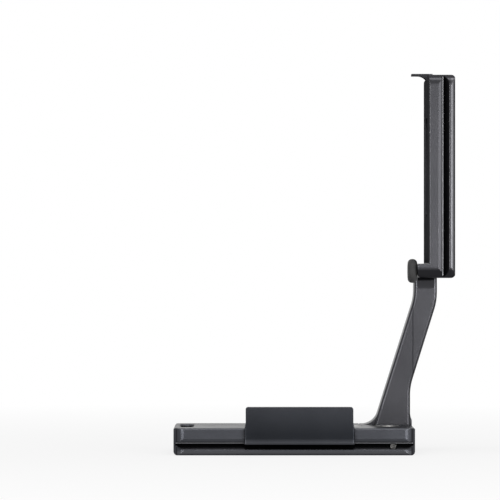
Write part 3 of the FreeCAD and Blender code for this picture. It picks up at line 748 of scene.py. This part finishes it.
@dataclass(frozen=True)
class Screw:
    """Screw with a low round head: its blank is turned, its thread cut and its socket broached."""

    thread: float
    pitch: float
    head: float
    head_height: float
    thread_start: float
    neck: float
    tip_chamfer: float = 0.6 * MM
    socket: float = 4.1 * MM
    socket_depth: float = 1.8 * MM
    edge: float = 0.45 * MM
    shoulder: float = 0.7 * MM

    def build(self, name: str, node: str, centre: Vector) -> tuple[Piece, Vector]:
        """Make the screw to a CAD screw's height, head down, and set it in.

        Args:
            name: The piece's name.
            node: The CAD screw.
            centre: A point on its axis.

        Returns:
            The screw, and the middle of its head's upper face.
        """
        below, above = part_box(node)
        head_top = below.z + self.head_height
        reach = above.z - head_top
        radius = self.head / 2
        shoulder = self.neck + 0.03 * MM
        low = -self.head_height
        blank = Bench.turned(name, [
            (0.0, self.shoulder), (shoulder, self.shoulder), (shoulder, 0.0), (radius - 0.15 * MM, 0.0),
            (radius, -0.15 * MM), (radius, low + self.edge), (radius - 0.7 * self.edge, low + 0.15 * self.edge),
            (radius - 1.6 * self.edge, low), (0.0, low)])
        flip = Matrix.Rotation(math.pi, 4, "X")
        Bench.carry(blank, flip)
        Bench.cut_socket(blank, self.socket, self.head_height, self.socket_depth)
        Bench.carry(blank, flip)
        Bench.break_edges(blank, 0.10 * MM)
        outer = self.thread / 2
        bar_foot = 0.3 * MM
        bar = Bench.turned("bar", [
            (0.0, bar_foot), (self.neck, bar_foot), (self.neck, self.thread_start),
            (outer, self.thread_start + outer - self.neck), (outer, reach - self.tip_chamfer),
            (outer - self.tip_chamfer, reach), (0.0, reach)])
        rod = Bench.threaded_rod("rod", outer + CREST_EXCESS, self.pitch, -1.5 * MM, reach + MM)
        wide, foot, end = outer + 0.5 * MM, -2.5 * MM, self.thread_start - 0.05 * MM
        sleeve = Bench.turned("sleeve", [(0.0, foot), (wide, foot), (wide, end), (0.0, end)])
        Bench.combine(rod, sleeve, "UNION")
        Bench.combine(bar, rod, "INTERSECT")
        Bench.combine(blank, bar, "UNION")
        place = Vector((centre.x, centre.y, head_top))
        Bench.set_in(blank, Facing.UP, place)
        return blank, place


@dataclass
class MountingScrew:
    """Captive mounting screw with its washer and snap ring."""

    screw: Screw = Screw(thread=6.35 * MM, pitch=1.27 * MM, head=12.8 * MM, head_height=2.6 * MM,
                         thread_start=3.0 * MM, neck=2.5 * MM)
    washer_hole: float = 6.95 * MM
    ring_inner: float = 6.0 * MM
    ring_opening: float = 50.0

    def ring(self) -> None:
        """Build and fit the open snap ring."""
        low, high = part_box("mounting_screw_ring")
        half = math.radians(self.ring_opening / 2)
        Bench.release()
        bpy.ops.mesh.primitive_plane_add(size=1.0, rotation=(math.pi / 2, 0, 0))
        piece = bpy.context.active_object
        piece.name = "mounting_ring_formed"
        piece.scale = (high.y - self.ring_inner, high.z - low.z, 1.0)
        piece.location = ((high.y + self.ring_inner) / 2, 0, (low.z + high.z) / 2)
        bpy.ops.object.transform_apply()
        Bench.edit_all()
        bpy.ops.transform.rotate(value=half, orient_axis="Z", center_override=(0, 0, 0))
        bpy.ops.mesh.spin(steps=62, angle=math.tau - 2 * half, center=(0, 0, 0), axis=(0, 0, 1))
        Bench.close_up()
        Bench.break_edges(piece, 0.12 * MM, 3, 40)
        fit(piece, TurnedSteel("spring_steel", **PHOSPHATED, roughness=0.4).material(Vector()),
            "base", "spring_steel", "mounting_screw_ring", angle=40)

    def build(self) -> None:
        """Build and fit the screw, its washer and its ring."""
        piece = self.screw.build("mounting_screw_turned", "mounting_screw", Vector())[0]
        fit(piece, TurnedSteel("stainless_screw", **STAINLESS).material(Vector()),
            "mounting_screw", "stainless_screw", "mounting_screw")
        fit_washer("mounting_washer_stamped", "mounting_screw_washer", "mounting_washer", self.washer_hole,
                   "stainless_washer", Vector())
        self.ring()


def fit_washer(name: str, node: str, body: str, hole: float, finish: str, centre: Vector) -> None:
    """Build and fit a stamped washer with one rolled and one sharp edge.

    Args:
        name: The piece's name.
        node: The CAD node that it stands for.
        body: The CAD body that carries it.
        hole: Diameter of the hole.
        finish: The material's name.
        centre: A point on its axis.
    """
    low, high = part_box(node)
    outer, inner, thickness = (high.x - low.x) / 2, hole / 2, high.z - low.z
    roll = 0.3 * thickness
    piece = Bench.turned(name, [
        (inner, 0.0), (outer - roll, 0.0), (outer, roll), (outer, thickness), (inner + roll, thickness),
        (inner, thickness - roll), (inner, 0.0)])
    Bench.break_edges(piece, 0.08 * MM)
    Bench.set_in(piece, Facing.UP, Vector((centre.x, centre.y, low.z)))
    fit(piece, TurnedSteel(finish, **STAINLESS, ring_scale=4000.0).material(centre),
        body, "stainless_washer", node)


@dataclass
class ClampScrews:
    """The two low-head clamp screws of the sliding tongue, their washers and their thread inserts."""

    screw: Screw = Screw(thread=5.0 * MM, pitch=0.8 * MM, head=9.0 * MM, head_height=2.2 * MM,
                         thread_start=0.5 * MM, neck=2.1 * MM, edge=0.35 * MM)
    washer_hole: float = 5.6 * MM
    insert_hole: float = 5.1 * MM
    insert_barrel: float = 7.2 * MM
    insert_flange_height: float = 1.2 * MM

    def fit_screw(self, side: str) -> None:
        """Build and fit one screw and its washer."""
        node, washer = "clamp_screw_" + side, "clamp_washer_" + side
        centre = middle(node)
        piece, foot = self.screw.build(node + "_turned", node, centre)
        fit(piece, TurnedSteel("black_steel_" + side, **BLACK_OXIDE, roughness=0.34).material(foot),
            node, "black_steel", node)
        fit_washer(washer + "_stamped", washer, washer, self.washer_hole, "stainless_washer_" + side, centre)

    def inserts(self) -> None:
        """Build and fit both thread inserts as one piece of two bodies."""
        low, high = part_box("clamp_inserts")
        outer = (high.y - low.y) / 2
        depth = high.z - low.z
        hole = self.insert_hole / 2
        bodies = []
        for place in (low.x + outer, high.x - outer):
            body = Bench.turned("insert", [
                (hole + 0.25 * MM, 0.0), (outer - 0.1 * MM, 0.0), (outer, -0.1 * MM),
                (outer, -self.insert_flange_height), (self.insert_barrel / 2, -self.insert_flange_height),
                (self.insert_barrel / 2, -depth), (hole, -depth), (hole, -0.25 * MM), (hole + 0.25 * MM, 0.0)])
            Bench.break_edges(body, 0.08 * MM)
            Bench.set_in(body, Facing.UP, Vector((place, 0, high.z)))
            bodies.append(body)
        finish = TurnedSteel("insert_steel", **STAINLESS, roughness=0.33)
        fit(Bench.joined("clamp_inserts_turned", bodies),
            finish.material(Vector((low.x + outer, 0, 0))), "base", "insert_steel", "clamp_inserts")

    def build(self) -> None:
        """Build the whole sub-assembly."""
        for side in ("left", "right"):
            self.fit_screw(side)
        self.inserts()


@dataclass
class StowedKey:
    """Bent hex key in its groove, and the magnets that hold it."""

    size: float = 4.0 * MM
    bend: float = 5.0 * MM

    def key(self) -> None:
        """Build and fit the key: a hexagonal bar drawn straight, bent, and drawn on."""
        low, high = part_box("hex_key")
        reach = self.size / HEX_SHARE
        line_x, line_y, level = low.x + reach, low.y + reach, (low.z + high.z) / 2
        Bench.release()
        bpy.ops.mesh.primitive_circle_add(vertices=6, radius=reach, fill_type="NGON",
                                          location=(line_x, high.y, level), rotation=(math.pi / 2, 0, 0))
        piece = bpy.context.active_object
        piece.name = "hex_key_bent"
        bpy.ops.object.transform_apply()
        Bench.edit_all()
        bpy.ops.transform.rotate(value=math.radians(30), orient_axis="Y", center_override=(line_x, high.y, level))
        straight = high.y - line_y - self.bend
        Bench.draw_on(0, -straight, 0)
        bpy.ops.mesh.spin(steps=20, angle=-math.pi / 2, axis=(0, 0, 1),
                          center=(line_x + self.bend, line_y + self.bend, level))
        Bench.draw_on(high.x - line_x - self.bend, 0, 0)
        Bench.close_up()
        Bench.break_edges(piece, 0.22 * MM, 3, 25)
        finish = TurnedSteel("key_steel", **TOOL_STEEL, roughness=0.36)
        fit(piece, finish.material(Vector((line_x, line_y, level)), Facing.RIGHT), "key", "key_steel", "hex_key",
            angle=28)

    def magnets(self) -> None:
        """Build and fit both magnets as one piece of two bodies."""
        low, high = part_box("key_magnets")
        radius = (high.y - low.y) / 2
        height = high.z - low.z
        centre_y = (low.y + high.y) / 2
        bodies = []
        for place in (low.x + radius, high.x - radius):
            body = Bench.turned("magnet", [(0.0, 0.0), (radius, 0.0), (radius, height), (0.0, height)], 48)
            Bench.break_edges(body, 0.2 * MM, 4)
            Bench.set_in(body, Facing.UP, Vector((place, centre_y, low.z)))
            bodies.append(body)
        finish = TurnedSteel("magnet_nickel", **NICKEL, roughness=0.16, ring_scale=2000.0)
        fit(Bench.joined("key_magnets_plated", bodies),
            finish.material(Vector((low.x + radius, centre_y, 0))), "base", "magnet_nickel", "key_magnets")

    def build(self) -> None:
        """Build the whole sub-assembly."""
        self.key()
        self.magnets()


@dataclass
class ThreadBushings:
    """The flanged steel thread bushings in both plates."""

    bore: float = 6.35 * MM
    pitch: float = 1.27 * MM
    barrel: float = 9.2 * MM
    flange: float = 11.0 * MM
    flange_height: float = 1.0 * MM
    length: float = 7.0 * MM
    mouth_chamfer: float = 0.5 * MM

    def body(self, name: str) -> Piece:
        """Make one bushing upright, its flange's face at height 0 and its barrel below."""
        outer, barrel = self.flange / 2, self.barrel / 2
        piece = Bench.turned(name, [
            (0.0, 0.0), (outer - 0.12 * MM, 0.0), (outer, -0.12 * MM), (outer, -self.flange_height),
            (barrel, -self.flange_height), (barrel, -self.length), (0.0, -self.length)])
        tap = Bench.threaded_rod("tap", self.bore / 2, self.pitch, -self.length - MM, MM)
        Bench.combine(piece, tap, "DIFFERENCE")
        sink = self.bore / 2 + self.mouth_chamfer
        cone = Bench.turned("sink", [(0.0, MM), (sink + MM, MM), (sink - 2.0 * MM, -2.0 * MM), (0.0, -2.0 * MM)])
        Bench.combine(piece, cone, "DIFFERENCE")
        return piece

    def fit_one(self, node: str, body: str, facing: Facing) -> None:
        """Build, place and fit one bushing."""
        low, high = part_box(node)
        mouth = middle(node)
        if facing is Facing.DOWN:
            mouth.z = low.z
        else:
            mouth.x = high.x
        piece = self.body(node + "_threaded")
        Bench.set_in(piece, facing, mouth)
        fit(piece, TurnedSteel("steel_" + node, **STAINLESS, roughness=0.30).material(mouth, facing),
            body, "insert_steel", node)

    def build(self) -> None:
        """Build the whole sub-assembly."""
        self.fit_one("base_bushing", "base", Facing.DOWN)
        self.fit_one("side_bushing", "side", Facing.RIGHT)


@dataclass
class SlingSocket:
    """Quick-release socket for a sling's stud in the side plate."""

    bore: float = 9.9 * MM
    outer: float = 13.0 * MM
    flange: float = 15.0 * MM
    flange_height: float = 1.2 * MM
    floor: float = 0.5 * MM
    lip: float = 2.6 * MM
    groove_width: float = 2.6 * MM
    groove_depth: float = 0.7 * MM
    mouth: float = 0.55 * MM

    def build(self) -> None:
        """Turn the sleeve with its mouth and ball groove, and fit it."""
        low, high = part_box("sling_socket")
        centre = middle("sling_socket")
        length = high.x - low.x
        bore, outer, flange = self.bore / 2, self.outer / 2, self.flange / 2
        groove = bore + self.groove_depth
        bottom = self.lip + self.groove_width
        shoulder = 0.35 * MM
        piece = Bench.turned("sling_socket_turned", [
            (0.0, self.floor - length), (bore, self.floor - length), (bore, -bottom),
            (groove, shoulder - bottom), (groove, -self.lip - shoulder), (bore, -self.lip),
            (bore, -1.6 * self.mouth), (bore + self.mouth, 0.0), (flange - 0.2 * MM, 0.0), (flange, -0.2 * MM),
            (flange, -self.flange_height), (outer, -self.flange_height), (outer, -length), (0.0, -length)], 96)
        Bench.break_edges(piece, 0.08 * MM, 2, 20)
        place = Vector((high.x, centre.y, centre.z))
        Bench.set_in(piece, Facing.RIGHT, place)
        fit(piece, TurnedSteel("socket_steel", **STAINLESS, roughness=0.24).material(place, Facing.RIGHT),
            "side", "socket_steel", "sling_socket")


@dataclass
class StopScrews:
    """Small set screws that stand out of the dovetail grooves."""

    thread: float = 2.5 * MM
    pitch: float = 0.45 * MM
    length: float = 4.0 * MM
    edge: float = 0.25 * MM
    tip: float = 0.4 * MM
    socket: float = 1.3 * MM
    socket_depth: float = 1.0 * MM

    def build(self) -> None:
        """Build both and fit them as one piece of two bodies."""
        low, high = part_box("stop_screws")
        radius = self.thread / 2
        level = (low.z + high.z) / 2
        front = Vector((high.x - radius, low.y, level))
        bodies = []
        for facing, place in ((Facing.FRONT, front), (Facing.REAR, Vector((low.x + radius, high.y, level)))):
            blank = Bench.turned("stop", [
                (0.0, 0.0), (radius - self.edge, 0.0), (radius, -self.edge), (radius, self.tip - self.length),
                (radius - self.tip, -self.length), (0.0, -self.length)], 48)
            rod = Bench.threaded_rod("rod", radius + CREST_EXCESS, self.pitch, -self.length - 0.5 * MM, 0.5 * MM)
            Bench.combine(blank, rod, "INTERSECT")
            Bench.cut_socket(blank, self.socket, 0.0, self.socket_depth, drilled=False)
            Bench.set_in(blank, facing, place)
            bodies.append(blank)
        finish = TurnedSteel("black_steel_stop", **TOOL_STEEL, roughness=0.30)
        fit(Bench.joined("stop_screws_threaded", bodies), finish.material(front, Facing.FRONT),
            "base", "black_steel", "stop_screws")


@dataclass
class RubberBumper:
    """Moulded bumper with its stem and a shallow dish in its face."""

    edge: float = 1.5 * MM
    dish: float = 0.25 * MM
    stem: float = 1.2 * MM
    stem_length: float = 2.6 * MM

    def build(self) -> None:
        """Turn the bumper and fit it."""
        low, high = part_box("rubber_bumper")
        centre = middle("rubber_bumper")
        radius = (high.z - low.z) / 2
        height = high.x - self.stem_length - low.x
        inner = radius - self.edge
        corners: Profile = [(0.0, height - self.dish), (inner - 0.6 * MM, height - 0.5 * self.dish)]
        for start, level in ((90, height - self.edge), (0, self.edge)):
            for share in range(7):
                angle = math.radians(start - 15 * share)
                corners.append((inner + self.edge * math.cos(angle), level + self.edge * math.sin(angle)))
        corners += [(self.stem, 0.0), (self.stem, -self.stem_length), (0.0, -self.stem_length)]
        piece = Bench.turned("rubber_bumper_moulded", corners)
        Bench.set_in(piece, Facing.LEFT, Vector((high.x - self.stem_length, centre.y, centre.z)))
        fit(piece, MouldedRubber("bumper_rubber").material(), "side", "bumper_rubber", "rubber_bumper", angle=50)


@dataclass
class Lamp:
    """A soft rectangular lamp that is aimed at a point."""

    name: str
    place: Triple
    aim: Triple
    width: float
    height: float
    power: float

    def build(self) -> None:
        """Add the lamp."""
        bpy.ops.object.light_add(type="AREA", location=self.place)
        lamp = bpy.context.active_object
        lamp.name = self.name
        lamp.rotation_euler = (Vector(self.aim) - Vector(self.place)).to_track_quat("-Z", "Y").to_euler()
        lamp.data.shape = "RECTANGLE"
        lamp.data.size = self.width
        lamp.data.size_y = self.height
        lamp.data.energy = self.power


@dataclass
class Studio:
    """Pale floor, white surroundings, soft lamps and the camera."""

    eye: Triple = (-0.00683, -1.269, 0.064)
    lens: float = 250.8
    floor_size: float = 6.0
    surroundings: float = 0.30

    def floor(self) -> None:
        """Add the pale floor, which is the backdrop too."""
        Bench.release()
        bpy.ops.mesh.primitive_plane_add(size=self.floor_size, location=(0, 0, CAD_BOX[0].z))
        floor = bpy.context.active_object
        floor.name = "floor"
        bpy.ops.object.transform_apply()
        finish, nodes, shader = new_material("pale_floor")
        grain = nodes.noise(nodes.here(), 3.0, 2.0)
        nodes.feed(shader, {"Base Color": nodes.mixed(grain, (0.86, 0.86, 0.86), (0.89, 0.89, 0.89)),
                            "Roughness": 0.9, "Specular IOR Level": 0.0})
        white = nodes.add("Emission", {"Color": (1, 1, 1, 1), "Strength": 1.0})
        far = nodes.off_axis(nodes.parts(nodes.here()))
        share = nodes.times(nodes.seen(), nodes.spread(far, 0.06, 0.40, 0.80))
        blend = nodes.add("MixShader", {0: share, 1: shader.outputs[0], 2: white.outputs[0]})
        nodes.feed(finish.node_tree.nodes["Material Output"], {"Surface": blend.outputs[0]})
        floor.data.materials.append(finish)

    def world(self) -> None:
        """Set the plain surroundings, white where they are seen or mirrored."""
        world = bpy.data.worlds.new("studio")
        bpy.context.scene.world = world
        world.use_nodes = True
        nodes = Tree(world.node_tree)
        strength = nodes.spread(nodes.seen(), 0.0, 1.0, self.surroundings)
        nodes.feed(world.node_tree.nodes["Background"], {"Color": (1, 1, 1, 1), "Strength": strength})

    def lamps(self) -> None:
        """Add the soft lamps: three in front, two low ones for the base and one above."""
        middle_point = (0.02, 0.0, 0.05)
        for lamp in (
            Lamp("front_lamp", (0.37, -1.35, 0.25), (0.05, 0.0, 0.05), 0.80, 0.70, 1.9),
            Lamp("left_front_lamp", (-0.53, -1.10, 0.25), (-0.02, 0.0, 0.03), 0.50, 0.70, 3.1),
            Lamp("right_front_lamp", (0.98, -0.77, 0.25), middle_point, 0.90, 0.70, 5.5),
            Lamp("left_low_lamp", (-0.45, -1.11, 0.040), (-0.03, 0.0, 0.0), 0.60, 0.09, 2.2),
            Lamp("right_low_lamp", (0.50, -1.09, 0.040), (0.05, 0.0, 0.0), 0.60, 0.09, 2.9),
            Lamp("top_lamp", (0.02, -0.20, 0.80), middle_point, 0.80, 0.25, 2.3),
        ):
            lamp.build()

    def camera(self) -> None:
        """Add the camera, level and square to the plate's front."""
        bpy.ops.object.camera_add(location=self.eye, rotation=(math.pi / 2, 0, 0))
        camera = bpy.context.active_object
        camera.name = "camera"
        camera.data.lens = self.lens
        camera.data.clip_start = 0.02
        camera.data.clip_end = 30.0
        bpy.context.scene.camera = camera

    def build(self) -> None:
        """Build the whole studio."""
        self.floor()
        self.world()
        self.lamps()
        self.camera()
        bpy.context.scene.view_settings.view_transform = "Standard"


def main() -> None:
    """Build every sub-assembly in order, then the studio."""
    logging.basicConfig(level=logging.INFO, format="%(name)s %(message)s")
    Plates().dress()
    for assembly in (MountingScrew(), ClampScrews(), StowedKey(), ThreadBushings(), SlingSocket(), StopScrews(),
                     RubberBumper()):
        assembly.build()
    Studio().build()
    Bench.release()


if __name__ == "__main__":
    main()
